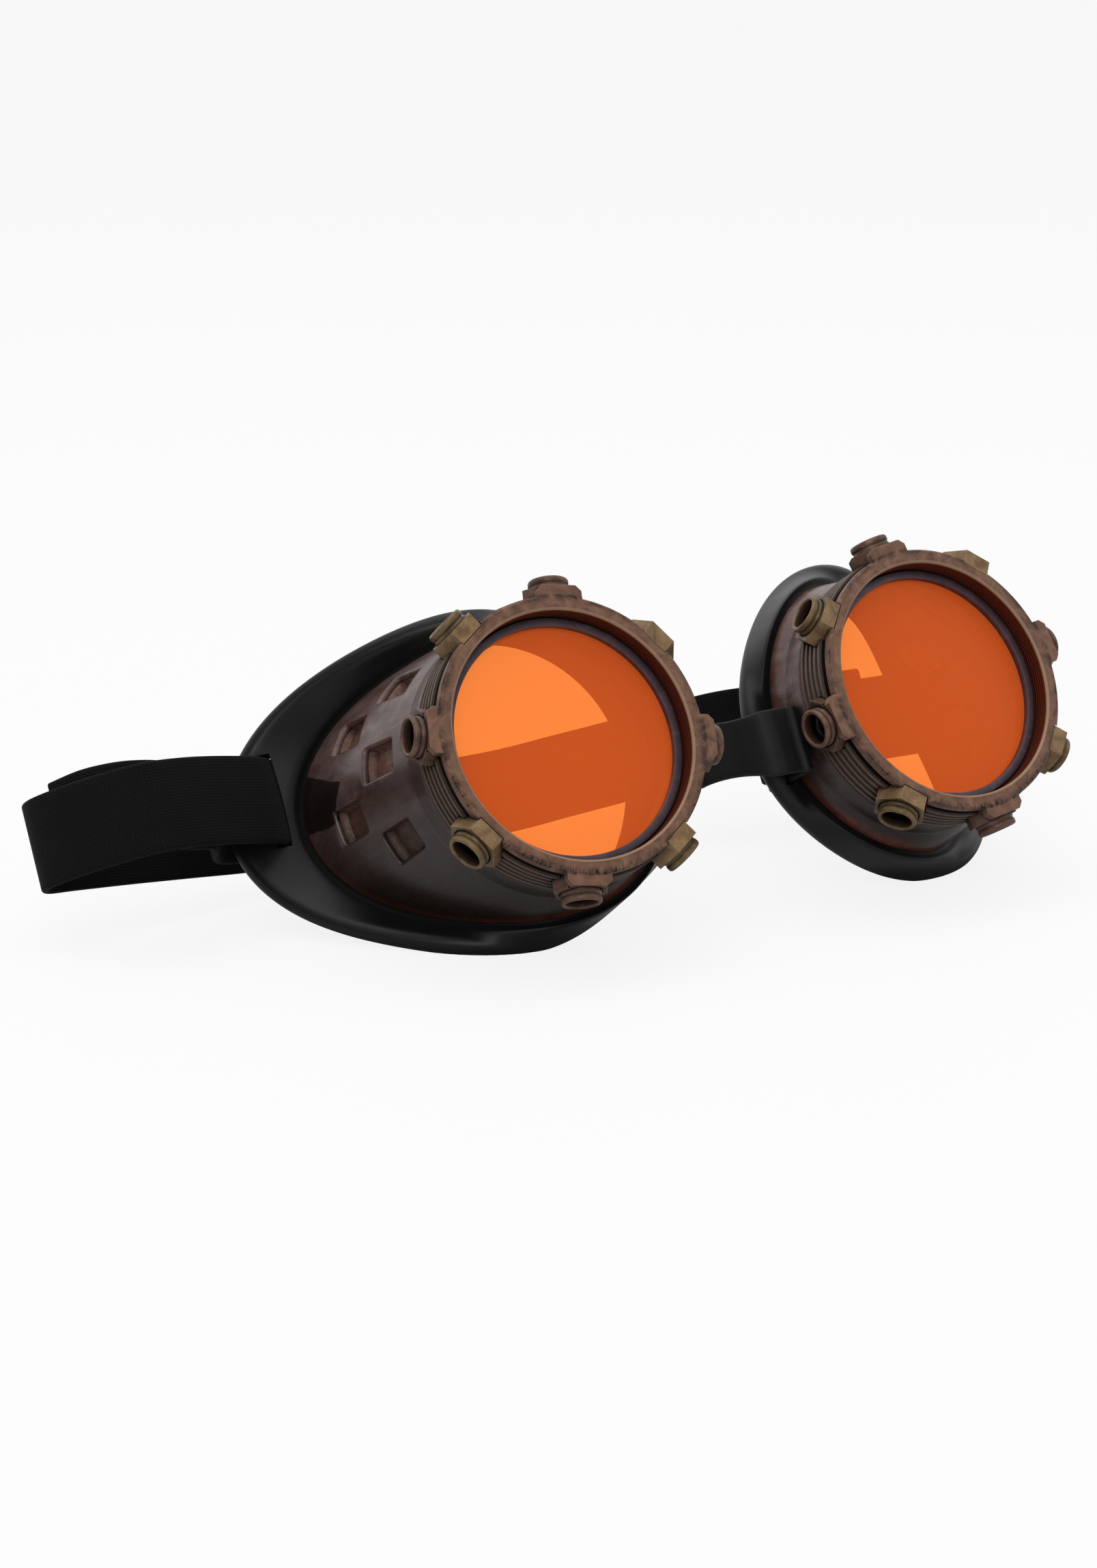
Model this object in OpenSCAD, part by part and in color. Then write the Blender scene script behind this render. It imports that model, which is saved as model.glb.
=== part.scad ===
// Pair of round-lens goggles with hex nuts round each lens, resting on the lower edges of the face pads.
// Millimetres, +Z up, the wearer's right-hand cup at +X and the lenses towards -Y.
// Cup frame: x to the temple, y up, z out of the lens. Depth is measured backwards from the rim, along -z.

/* [Stance] */
// Distance between the centres of the two lens openings
cup_spacing = 91; // [89:0.5:96]
// Backward tilt of the goggles where they rest on the table
cup_pitch = 31; // [28:1:34]
// Outward turn of each cup towards the temple
cup_yaw = 2.3; // [1:0.1:3.5]
// Roll of each cup, which brings its top nut towards the nose
cup_roll = 10; // [8:1:12]
// Height of the flat that the table leaves under each pad
rest_flat = 1; // [0.6:0.1:1.4]

/* [Bezel ring] */
// Play between the lens and the wall of the opening in front of it
opening_play = 1; // [0.9:0.05:1.3]
// Width of the flat front flange round the opening
flange_w = 3; // [2.7:0.1:3.2]
// Thickness of the front flange
flange_t = 1.9; // [1.5:0.1:2.2]
// Wall of the barrel behind the flange, under the nuts
barrel_t = 1.9; // [1.6:0.1:2.1]
// Depth of the whole bezel ring
bezel_depth = 11.4; // [11:0.1:12]
// Height of the raised band between the nuts
band_rise = 1.2; // [0.8:0.1:1.4]
// Number of fine ridges round the raised band
ridge_count = 5; // [4:1:6]
// Height of each ridge over the raised band
ridge_rise = 0.4; // [0.2:0.1:0.6]
// Chamfer of the flange edges
flange_chamfer = 0.4; // [0.2:0.1:0.5]

/* [Nuts and studs] */
// Nuts round each bezel ring, bronze and brass in turn
nut_count = 8; // [8]
// Width across the flats of a nut
nut_flats = 10.2; // [9.8:0.1:10.6]
// Thickness of a nut
nut_t = 3.3; // [2.8:0.1:3.8]
// Depth of the nut axes behind the rim
nut_depth = 5.2; // [5.1:0.1:5.6]
// Diameter of a hollow stud
stud_d = 8.4; // [8:0.1:8.6]
// Diameter of the blind hole in a stud
stud_bore_d = 6.3; // [5.8:0.1:6.8]
// Depth of the blind hole in a stud
stud_bore_depth = 3.8; // [3:0.1:4.4]
// Height of a stud over its nut
stud_rise = 2.3; // [1.8:0.1:2.8]
// Height over its nut of the one low, solid brass stud of each cup
low_stud_rise = 1.1; // [0.6:0.1:1.6]
// Width of the flange tab in front of a bronze nut
tab_w = 9.6; // [9:0.1:10]

/* [Lens stack] */
// Lens diameter
lens_d = 50; // [49:0.1:51]
// Lens thickness
lens_t = 1.5; // [1.2:0.1:1.7]
// Depth of the front face of the retaining ring
retainer_depth = 4.4; // [4:0.1:4.6]
// Thickness of the retaining ring
retainer_t = 1.5; // [1.2:0.1:1.7]
// Width of the lens edge that the retaining ring covers
retainer_lip = 0.9; // [0.7:0.05:1.2]
// Play between stacked pieces
stack_gap = 0.2; // [0.1:0.05:0.25]

/* [Eyecup shell] */
// Wall of the shell
shell_t = 1.8; // [1.5:0.1:2.2]
// Length of the straight collar behind the bezel ring
collar_len = 6; // [5:0.1:7]
// Radius of the shell rim at the temple
shell_temple_r = 36.9; // [36:0.1:38]
// Radius of the shell rim at the brow and the cheek
shell_brow_r = 31.6; // [31.2:0.1:32]
// Radius of the shell rim at the nose
shell_nose_r = 29.4; // [29.2:0.1:29.8]
// Depth of the shell rim at the temple
shell_temple_depth = 58.5; // [57:0.1:60]
// Depth of the shell rim at the brow and the cheek
shell_brow_depth = 26.7; // [26:0.1:27.4]
// Depth of the shell rim at the nose
shell_nose_depth = 23.3; // [22.6:0.1:24]
// Outward bulge of the shell between collar and rim
shell_bulge = 0.8; // [0.4:0.1:1.2]

/* [Vents] */
// Length of a vent window along the cup
vent_len = 9.5; // [8:0.1:10.5]
// Width of a vent window round the cup
vent_w = 7; // [6:0.1:7.6]
// Depth of the middle of the three front windows
vent_front_depth = 28; // [27:0.1:29]
// Depth of the middle of the two rear windows
vent_rear_depth = 41; // [40.2:0.1:42]
// Angle between neighbouring windows of the two rows
vent_step = 16.2; // [15.5:0.1:17]
// Play round a louvre panel in its window
louvre_gap = 0.3; // [0.2:0.05:0.4]
// Depth of a louvre panel under the shell surface
louvre_inset = 0.8; // [0.6:0.1:1]

/* [Face pad] */
// Radius of the rolled outer edge
pad_roll_r = 2.6; // [2.3:0.1:2.8]
// Reach of the roll beyond the shell rim at the temple
pad_temple_reach = 12.6; // [12:0.1:13.4]
// Reach of the roll beyond the shell rim at the brow and the cheek
pad_brow_reach = 2.8; // [2.5:0.1:3.2]
// Reach of the roll beyond the shell rim at the nose
pad_nose_reach = 5.4; // [5.1:0.1:5.6]
// Depth of the roll behind the shell rim at the temple
pad_temple_set = 4.7; // [4:0.1:5.4]
// Depth of the roll behind the shell rim at the brow and the cheek
pad_brow_set = 5.4; // [4.9:0.1:5.9]
// Lead of the roll in front of the shell rim at the nose
pad_nose_lead = 0.3; // [0:0.1:0.6]
// Inset of the face opening from the shell rim at the temple
face_temple_inset = 1.5; // [1:0.1:2.2]
// Inset of the face opening from the shell rim at the brow and the cheek
face_brow_inset = 0.1; // [0:0.1:0.6]
// Inset of the face opening from the shell rim at the nose
face_nose_inset = 5.5; // [4.8:0.1:6.2]
// Depth of the face opening behind the shell rim at the temple
face_temple_set = 3.9; // [3.4:0.1:4.4]
// Depth of the face opening behind the shell rim at the brow and the cheek
face_brow_set = 10.1; // [9.5:0.1:10.6]
// Depth of the face opening behind the shell rim at the nose
face_nose_set = 4; // [3.6:0.1:4.4]
// Width of the groove between the shell rim and the pad
groove_w = 1.8; // [1.4:0.1:2]
// Play between the shell rim and its seat in the pad
seat_gap = 0.3; // [0.2:0.05:0.4]

/* [Straps] */
// Width of the elastic head strap
strap_w = 19; // [17:0.5:20]
// Thickness of the elastic head strap
strap_t = 1.5; // [1:0.1:1.8]
// Height of the middle of the head strap over the lens axis
strap_height = 9.8; // [9:0.1:10.4]
// Height of the nose bridge at its middle
bridge_w = 12.2; // [11:0.1:14]
// Height of the nose bridge over the pad lips
bridge_end_w = 14.5; // [13:0.1:15]
// Thickness of the nose bridge
bridge_t = 1.2; // [1:0.1:1.4]
// Drop of the middle of the nose bridge below the lens axis
bridge_drop = 4; // [3.2:0.1:4.4]
// Radius of the bead that stops each end of the nose bridge
bridge_bead_r = 1.6; // [1.5:0.1:1.8]
// Play round a strap in its slot
slot_gap = 0.6; // [0.5:0.1:0.8]

/* [Strap slider] */
// Length of the slider along the strap
slider_len = 7; // [5:0.1:8]
// Thickness of the slider's outer bars
slider_bar = 1.6; // [1.2:0.1:2]
// Play between the slider and the strap
slider_gap = 0.4; // [0.3:0.05:0.4]

/* [Hidden] */
$fn = 96;
cut = 60;
opening_r = lens_d / 2 + opening_play;
retainer_r = lens_d / 2 - retainer_lip;
flange_r = opening_r + flange_w;
barrel_r = opening_r + barrel_t;
band_r = barrel_r + band_rise;
band_gap = 1.2;
groove_depth = flange_t + band_gap;
lens_depth = retainer_depth + retainer_t + stack_gap;
ledge_depth = retainer_depth + retainer_t + lens_t + 1 + 3 * stack_gap;
ledge_r = lens_d / 2 - 0.7;
nut_pitch = 360 / nut_count;
nut_seat_r = barrel_r + seat_gap;
nut_end_r = nut_seat_r + nut_t;
stud_end_r = nut_end_r + stud_rise;
stud_r = stud_d / 2;
collar_front = bezel_depth + seat_gap;
collar_rear = collar_front + collar_len;
pocket_under = 0.15;
tab_chamfer = 1.2;
tab_end_r = nut_end_r - 0.2;
tab_root_r = barrel_r - 0.5;
shell_steps = 5;
around = 72;
roll_steps = 6;

// Curves round the cup. A reach is named at temple, brow and nose; sweep and trim round its corners.
shell_sweep = 1;
shell_trim = 0.1;
roll_sweep = 0.5;
roll_trim = 1.3;
roll_depth_sweep = 3.6;
face_sweep = 1;
face_trim = 0.5;
face_depth_sweep = 2.6;
face_depth_trim = 0.9;
function reach(a, temple, brow, nose, sweep, trim) =
    (temple + 2 * brow + nose) / 4 - trim + ((temple - nose) / 2 - sweep) * cos(a)
    + (temple - 2 * brow + nose) / 4 * cos(2 * a) + sweep * cos(3 * a) + trim * cos(4 * a);
function shell_r(a) = reach(a, shell_temple_r, shell_brow_r, shell_nose_r, shell_sweep, shell_trim);
function shell_depth(a) = reach(a, shell_temple_depth, shell_brow_depth, shell_nose_depth, 0, 0);
function roll_r(a) = reach(a, shell_temple_r + pad_temple_reach, shell_brow_r + pad_brow_reach,
    shell_nose_r + pad_nose_reach, roll_sweep, roll_trim);
function roll_depth(a) = reach(a, shell_temple_depth + pad_temple_set, shell_brow_depth + pad_brow_set,
    shell_nose_depth - pad_nose_lead, roll_depth_sweep, 0);
function face_r(a) = reach(a, shell_temple_r - face_temple_inset, shell_brow_r - face_brow_inset,
    shell_nose_r - face_nose_inset, face_sweep, face_trim);
function face_depth(a) = reach(a, shell_temple_depth + face_temple_set, shell_brow_depth + face_brow_set,
    shell_nose_depth + face_nose_set, face_depth_sweep, face_depth_trim);

// Radius of the shell's outside at an angle and a depth
function along_shell(a, depth) = max(0, (depth - collar_rear) / (shell_depth(a) - collar_rear));
function shell_outside(a, depth) =
    let (t = along_shell(a, depth))
    band_r + (shell_r(a) - band_r) * t
    + shell_bulge * sin(180 * min(t, 1)) * (shell_depth(a) - collar_rear)
    / (shell_temple_depth - collar_rear);

// A point of the cup frame in the goggles' own upright frame
function upright(p) =
    let (side = p[0] * cos(cup_roll) - p[1] * sin(cup_roll), depth = -p[2])
    [cup_spacing / 2 + side * cos(cup_yaw) - depth * sin(cup_yaw),
     side * sin(cup_yaw) + depth * cos(cup_yaw),
     p[0] * sin(cup_roll) + p[1] * cos(cup_roll)];
function tilted_height(p) = p[2] * cos(cup_pitch) - p[1] * sin(cup_pitch);
function tilted_back(p) = p[1] * cos(cup_pitch) + p[2] * sin(cup_pitch);
function ring_point(a, r, depth) = [r * cos(a), r * sin(a), -depth];

// Route of the head strap as [side, back, lift], in the upright frame: sewn tail, left slot, front run,
// rear run, slider, right slot and tail. Lift is measured from the strap's own height.
slot_front = [87.4, 57.7, 0];
slot_rear = [81.7, 63.2, 0];
rear_layer = 70.8;
tail_layer = rear_layer - strap_t - 2 * slider_gap - 1.4;
slider_x = 66;
strap_route = [
    [-130.5, 65, 2.6], [-126.1, 58, 2.6], [-120.4, 53.3, 2], [-115, 51, 1], [-109, 51.4, 0],
    [-104.5, 53.6, 0], [-101.5, 58, 0], [-99.5, 63.5, 0], [-96.5, 68.5, 0], [-91, 71, 0], [-85, 71.2, 0],
    [-80.5, 69.5, 0], [-79.5, 66, 0], [-slot_rear[0], slot_rear[1], 0], [-slot_front[0], slot_front[1], 0],
    [-93.6, 54.6, 0], [-101, 51.5, 0], [-108, 49.5, 0], [-115.5, 49, 0], [-121.5, 51.5, 0],
    [-127.8, 56.3, 0], [-133, 62, 0], [-135.4, 66.8, 0], [-134, 70.6, 0], [-127, 71.8, 0], [-113.5, 74.5, 0],
    [-99, 78, 0], [-83, 80.5, -0.3], [-57, 82, -0.5], [-25, 81, -0.8], [-5, 79, 0.4], [10.5, 75, 1.1],
    [18.5, 68.6, 1], [26, 62.4, 0.6], [34.5, 60.5, 0.3], [42, 62, 0], [47.5, 66.5, 0], [52, 69.9, 0],
    [57, rear_layer, 0], [62, rear_layer, 0], [90, rear_layer, 0], [97, 69.5, 0], [100.5, 66, 0],
    [100.5, 61.5, 0], [98, 58, 0], [93, 56.2, 0], slot_front, slot_rear, [79.4, 65.8, 0],
    [76.5, tail_layer, 0], [72, tail_layer, 0], [54, tail_layer, 0]];

// Route of the nose bridge from the middle to the right cup, mirrored for the left: over the rolled edge,
// forward to a fold beside the shell, and back down the groove into its slot
bridge_half = [[0, 18.5, 0], [5, 18.3, 0], [9.2, 17.8, 0], [11.2, 16, -0.4], [12.4, 14.3, -0.8],
    [13.1, 13, -1.1], [13.95, 12.45, -1.2], [14.8, 12.95, -1.2], [14.9, 14, -1.2], [14.6, 16.5, -1.2],
    [13.9, 19.2, -1.2], [13.55, 21.8, -1.2], [13.5, 25, -1.2], [13.6, 27.9, -1.2]];
bridge_slot = [13.5, 24.5];
bridge_route = concat(
    [for (i = [len(bridge_half) - 1:-1:1]) let (p = bridge_half[i]) [-p[0], p[1], p[2]]], bridge_half);
bridge_bead = bridge_half[len(bridge_half) - 1];

slot_reach = 12;

// Where the goggles' upright frame stands: table under the pads, middle of the outline at the origin
pad_low = min([for (a = [0:5:355]) tilted_height(upright(ring_point(a, roll_r(a), roll_depth(a))))]);
strap_xs = [for (p = strap_route) p[0]];
strap_back = max([for (p = strap_route) p[1]]) + strap_t / 2;
front_reach = -tilted_back([0, nut_depth - stud_r, -stud_end_r * cos(cup_roll)]);
back_reach = tilted_back([0, strap_back, strap_height + strap_w / 2]);
origin = [-(min(strap_xs) + max(strap_xs)) / 2, (front_reach - back_reach) / 2,
    pad_roll_r - rest_flat - pad_low];

// Catmull-Rom curve through the points of a route
function smooth(route, steps) =
    let (n = len(route))
    [for (i = [0:n - 2]) for (k = [0:(i == n - 2 ? steps : steps - 1)])
        let (a = route[max(i - 1, 0)], b = route[i], c = route[i + 1], d = route[min(i + 2, n - 1)],
            t = k / steps)
        b + (c - a) * t / 2 + (2 * a - 5 * b + 4 * c - d) * t * t / 2
        + (3 * b - a - 3 * c + d) * t * t * t / 2];
function unit(v) = v / norm(v);
function heading(line, i) = unit(line[min(i + 1, len(line) - 1)] - line[max(i - 1, 0)]);

// Closed surface over rows of points, all of the same count. A closed ring joins its last row to its first.
module skin(rows, closed) {
    n = len(rows);
    m = len(rows[0]);
    last = closed ? n - 1 : n - 2;
    sides = [for (i = [0:last]) for (j = [0:m - 1])
        let (a = i * m + j, b = i * m + (j + 1) % m, c = ((i + 1) % n) * m + (j + 1) % m,
            d = ((i + 1) % n) * m + j)
        each [[a, c, b], [a, d, c]]];
    caps = closed ? [] : [[for (j = [0:m - 1]) j], [for (j = [m - 1:-1:0]) (n - 1) * m + j]];
    polyhedron([for (row = rows) for (p = row) p], concat(sides, caps), convexity = 8);
}

// Flat band that stands upright along a route, with its height given at each station
module band(line, heights, middle, t) {
    skin([for (i = [0:len(line) - 1])
        let (h = heading(line, i), side = unit([-h[1], h[0], 0]) * t / 2, half = [0, 0, heights[i] / 2],
            p = line[i] + [0, 0, middle])
        [p + side - half, p + side + half, p - side + half, p - side - half]],
        false);
}

module stand() translate(origin) rotate([-cup_pitch, 0, 0]) children();
module right_cup() stand() translate([cup_spacing / 2, 0, 0]) rotate([0, 0, cup_yaw]) rotate([90, 0, 0])
    rotate([0, 0, cup_roll]) children();
module left_cup() stand() mirror([1, 0, 0]) translate([cup_spacing / 2, 0, 0]) rotate([0, 0, cup_yaw])
    rotate([90, 0, 0]) rotate([0, 0, cup_roll]) children();
// The pads also need the cup placed without the stand, because the table and the slots cut them
module cup_on_stand() translate([cup_spacing / 2, 0, 0]) rotate([0, 0, cup_yaw]) rotate([90, 0, 0])
    rotate([0, 0, cup_roll]) children();

// A child placed at one nut, or at every nut of one kind: 0 for bronze, 1 for brass
module at_nut(i) rotate([0, 0, i * nut_pitch]) translate([0, 0, -nut_depth]) rotate([0, 90, 0]) children();
module at_nuts(kind) for (i = [kind:2:nut_count - 1]) at_nut(i) children();
module hex(flats, h) cylinder(h = h, r = flats / 2 / cos(30), $fn = 6);
module nut_pocket() translate([0, 0, nut_seat_r - pocket_under]) rotate([0, 0, 30])
    hex(nut_flats + 2 * stack_gap, cut);

module bezel_ring() color("#82695a") difference() {
    union() {
        rotate_extrude() polygon([[opening_r + flange_chamfer, 0], [flange_r - flange_chamfer, 0],
            [flange_r, -flange_chamfer], [flange_r, -flange_t], [barrel_r, -flange_t],
            [barrel_r, -bezel_depth], [ledge_r, -bezel_depth], [ledge_r, -ledge_depth], [opening_r, -ledge_depth],
            [opening_r, -flange_chamfer]]);
        rotate_extrude() polygon(ridge_profile());
        for (i = [0:2:nut_count - 1]) rotate([0, 0, i * nut_pitch]) translate([0, 0, -flange_t])
            linear_extrude(flange_t) polygon([[tab_root_r, -tab_w / 2], [tab_end_r - tab_chamfer, -tab_w / 2],
                [tab_end_r, -tab_w / 2 + tab_chamfer], [tab_end_r, tab_w / 2 - tab_chamfer],
                [tab_end_r - tab_chamfer, tab_w / 2], [tab_root_r, tab_w / 2]]);
    }
    at_nuts(1) nut_pocket();
    intersection() {
        at_nuts(0) nut_pocket();
        translate([0, 0, -flange_t - cut]) cylinder(h = cut, r = cut);
    }
    at_nuts(0) translate([0, 0, nut_seat_r - pocket_under]) cylinder(h = cut, r = stud_r + seat_gap);
}

// Raised band with its ridges: a comb outline turned round the lens axis
function ridge_profile() =
    let (pitch = (bezel_depth - groove_depth) / ridge_count)
    concat([[tab_root_r, -groove_depth]],
        [for (i = [0:ridge_count - 1]) let (z = -groove_depth - i * pitch)
            each [[band_r, z], [band_r + ridge_rise, z - pitch * 0.2], [band_r + ridge_rise, z - pitch * 0.6],
                [band_r, z - pitch * 0.8]]],
        [[band_r, -bezel_depth], [tab_root_r, -bezel_depth]]);

module hex_nut() translate([0, 0, nut_seat_r]) difference() {
    rotate([0, 0, 30]) hex(nut_flats, nut_t);
    translate([0, 0, -1]) cylinder(h = nut_t + 2, r = stud_r + stack_gap);
}
module bronze_nuts() color("#7d6656") intersection() {
    at_nuts(0) hex_nut();
    translate([0, 0, -flange_t - stack_gap - cut]) cylinder(h = cut, r = cut);
}
module brass_nuts() color("#8c7a50") at_nuts(1) hex_nut();

module hollow_stud() difference() {
    translate([0, 0, nut_seat_r]) cylinder(h = stud_end_r - nut_seat_r, r = stud_r);
    translate([0, 0, stud_end_r - stud_bore_depth]) cylinder(h = stud_bore_depth + 1, d = stud_bore_d);
}
module bronze_studs() color("#5d4a40") at_nuts(0) hollow_stud();
module low_stud() translate([0, 0, nut_seat_r]) {
    cylinder(h = nut_t + low_stud_rise / 2, r = stud_r);
    translate([0, 0, nut_t + low_stud_rise / 2]) cylinder(h = low_stud_rise / 2, r1 = stud_r, r2 = 0.7 * stud_r);
}
// The low stud is at the nut numbered low, which is the upper right one of both cups seen from the front
module brass_studs(low) color("#6e6040") for (i = [1:2:nut_count - 1]) at_nut(i) {
    if (i == low) low_stud();
    else hollow_stud();
}

// Flat ring between two radii, from a depth backwards
module flat_ring(outer, inner, depth, t) translate([0, 0, -depth - t]) difference() {
    cylinder(h = t, r = outer);
    translate([0, 0, -1]) cylinder(h = t + 2, r = inner);
}
module lens_retainer() color("#5f5550")
    flat_ring(opening_r - seat_gap, retainer_r, retainer_depth, retainer_t);
module lens() color("#ff8741", 0.7) translate([0, 0, -lens_depth - lens_t]) cylinder(h = lens_t, d = lens_d);
module lens_gasket() color("#2a2320") rotate_extrude() polygon([
    [lens_d / 2 + stack_gap, -lens_depth], [opening_r - seat_gap, -lens_depth],
    [opening_r - seat_gap, -ledge_depth + stack_gap], [ledge_r, -ledge_depth + stack_gap],
    [ledge_r, -lens_depth - lens_t - stack_gap], [lens_d / 2 + stack_gap, -lens_depth - lens_t - stack_gap]]);

// Shell wall: outside from collar to rim, then inside back to the collar
module eyecup_shell() color("#3b2a24") difference() {
    skin([for (i = [0:around - 1])
        let (a = -i * 360 / around, rim = shell_depth(a),
            depths = concat([collar_front],
                [for (k = [0:shell_steps]) collar_rear + (rim - collar_rear) * k / shell_steps]))
        concat([for (d = depths) ring_point(a, shell_outside(a, d), d)],
            [for (k = [len(depths) - 1:-1:0])
                ring_point(a, shell_outside(a, depths[k]) - shell_t, depths[k])])],
        true);
    for (v = vents()) rotate([0, 0, v[0]]) translate([band_r / 2, -vent_w / 2, -v[1] - vent_len / 2])
        cube([band_r, vent_w, vent_len]);
}
// Angle and depth of each window: three in front, two behind between them
function vents() = [for (i = [-2:2]) [4 + i * vent_step, i % 2 == 0 ? vent_front_depth : vent_rear_depth]];

// Curved panels, one in each window, set in under the surface
module vent_louvres() color("#7a4a30") for (v = vents()) {
    half = asin((vent_w / 2 - louvre_gap) / shell_outside(v[0], v[1]));
    reach = vent_len / 2 - louvre_gap;
    skin([for (i = [0:4])
        let (a = v[0] + half * (1 - i / 2),
            depths = [for (k = [0:2]) v[1] - reach + k * reach])
        concat([for (d = depths) ring_point(a, shell_outside(a, d) - louvre_inset, d)],
            [for (k = [2:-1:0]) ring_point(a, shell_outside(a, depths[k]) - shell_t, depths[k])])],
        false);
}

// Section of the pad at one angle, [radius, depth]: seat behind the shell rim, groove, rolled edge, face lip
function on_circle(c, r, a) = c + r * [cos(a), sin(a)];
function angle_of(v) = atan2(v[1], v[0]);
function pad_section(a) =
    let (rim = [shell_r(a), shell_depth(a)], roll = [roll_r(a), roll_depth(a)],
        face = [face_r(a), face_depth(a)],
        lip = rim + [groove_w, -0.6], face_back = face + [0.3, 0.8],
        start = angle_of(lip - roll) + acos(pad_roll_r / norm(lip - roll)),
        turn = angle_of(face_back - roll) - acos(pad_roll_r / norm(face_back - roll)),
        end = turn < start ? turn + 360 : turn)
    concat([rim + [-shell_t, seat_gap], rim + [0.5, seat_gap], lip],
        [for (k = [0:roll_steps]) on_circle(roll, pad_roll_r, start + (end - start) * k / roll_steps)],
        [face_back, face + [-0.5, 0.3], face + [-0.4, -0.8]]);

module face_pad() color("#1c1c1d") difference() {
    cup_on_stand() skin([for (i = [0:around - 1]) let (a = -i * 360 / around)
        [for (p = pad_section(a)) ring_point(a, p[0], p[1])]], true);
    // Slot for the head strap, along the strap's own slant
    translate([(slot_front[0] + slot_rear[0]) / 2, (slot_front[1] + slot_rear[1]) / 2, strap_height])
        rotate([0, 0, angle_of([slot_rear[0] - slot_front[0], slot_rear[1] - slot_front[1]])])
        cube([1.5 * slot_reach, strap_t + 2 * slot_gap, strap_w + 2 * slot_gap], center = true);
    // Slot for the nose bridge, open further below the bridge than above it
    translate([bridge_slot[0], bridge_slot[1], -bridge_drop - 3 * slot_gap])
        cube([bridge_t + 2 * slot_gap, slot_reach, bridge_end_w + 4 * slot_gap], center = true);
    // Flat where the pad rests on the table
    rotate([cup_pitch, 0, 0]) translate([cup_spacing / 2, 0, -origin[2] - cut / 2])
        cube([3 * cut, 4 * cut, cut], center = true);
}

module nose_bridge() color("#17181b") stand() {
    line = smooth(bridge_route, 3);
    heights = [for (p = line) let (t = min(abs(p[0]) / bridge_half[2][0], 1))
        bridge_w + (bridge_end_w - bridge_w) * t * t];
    band(line, heights, -bridge_drop, bridge_t);
    for (s = [-1, 1])
        translate([s * bridge_bead[0], bridge_bead[1], bridge_bead[2] - bridge_drop - bridge_end_w / 2])
        cylinder(h = bridge_end_w, r = bridge_bead_r, $fn = 32);
}

module head_strap() color("#141414") stand() {
    line = smooth(strap_route, 3);
    band(line, [for (p = line) strap_w], strap_height, strap_t);
}

// Slider with a window for each layer of the strap and a bar between them
module strap_slider() color("#202020") stand() translate([slider_x, 0, strap_height]) rotate([0, 90, 0])
    translate([0, 0, -slider_len / 2]) linear_extrude(slider_len) difference() {
        front = tail_layer - strap_t / 2 - slider_gap - slider_bar;
        back = rear_layer + strap_t / 2 + slider_gap + slider_bar;
        half = strap_w / 2 + slider_gap + slider_bar;
        polygon([[-half, front + 0.6], [-half + 0.6, front], [half - 0.6, front], [half, front + 0.6],
            [half, back - 0.6], [half - 0.6, back], [-half + 0.6, back], [-half, back - 0.6]]);
        for (y = [tail_layer, rear_layer])
            translate([-strap_w / 2 - slider_gap, y - strap_t / 2 - slider_gap])
            square([strap_w + 2 * slider_gap, strap_t + 2 * slider_gap]);
    }

left_cup() eyecup_shell();  // left_eyecup_shell
left_cup() bezel_ring();  // left_bezel_ring
left_cup() bronze_nuts();  // left_bronze_nuts
left_cup() bronze_studs();  // left_bronze_studs
left_cup() brass_nuts();  // left_brass_nuts
left_cup() brass_studs(3);  // left_brass_studs
left_cup() lens();  // left_lens
left_cup() lens_retainer();  // left_lens_retainer
left_cup() lens_gasket();  // left_lens_gasket
left_cup() vent_louvres();  // left_vent_louvres
stand() mirror([1, 0, 0]) face_pad();  // left_face_pad
right_cup() eyecup_shell();  // right_eyecup_shell
right_cup() bezel_ring();  // right_bezel_ring
right_cup() bronze_nuts();  // right_bronze_nuts
right_cup() bronze_studs();  // right_bronze_studs
right_cup() brass_nuts();  // right_brass_nuts
right_cup() brass_studs(1);  // right_brass_studs
right_cup() lens();  // right_lens
right_cup() lens_retainer();  // right_lens_retainer
right_cup() lens_gasket();  // right_lens_gasket
right_cup() vent_louvres();  // right_vent_louvres
stand() face_pad();  // right_face_pad
nose_bridge();
head_strap();
strap_slider();
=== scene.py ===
import math
import bpy, bmesh
import numpy as np
from mathutils import Matrix, Vector


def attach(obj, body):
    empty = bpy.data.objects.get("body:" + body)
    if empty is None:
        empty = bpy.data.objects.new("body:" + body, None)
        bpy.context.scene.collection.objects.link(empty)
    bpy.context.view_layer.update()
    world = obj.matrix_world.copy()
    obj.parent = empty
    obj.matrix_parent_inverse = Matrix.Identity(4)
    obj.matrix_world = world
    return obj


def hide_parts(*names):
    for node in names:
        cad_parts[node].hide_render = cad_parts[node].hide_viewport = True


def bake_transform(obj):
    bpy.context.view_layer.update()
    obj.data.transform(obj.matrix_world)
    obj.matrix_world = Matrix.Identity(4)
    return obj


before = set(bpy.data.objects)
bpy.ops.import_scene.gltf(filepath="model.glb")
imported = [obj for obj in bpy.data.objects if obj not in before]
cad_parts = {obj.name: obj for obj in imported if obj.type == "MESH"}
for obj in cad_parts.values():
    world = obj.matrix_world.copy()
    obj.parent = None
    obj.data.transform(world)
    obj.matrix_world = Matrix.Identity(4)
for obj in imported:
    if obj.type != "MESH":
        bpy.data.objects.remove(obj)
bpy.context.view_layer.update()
scene = bpy.context.scene
mm = 0.001
degree = math.pi / 180
print("packed goggles loaded")

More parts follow.
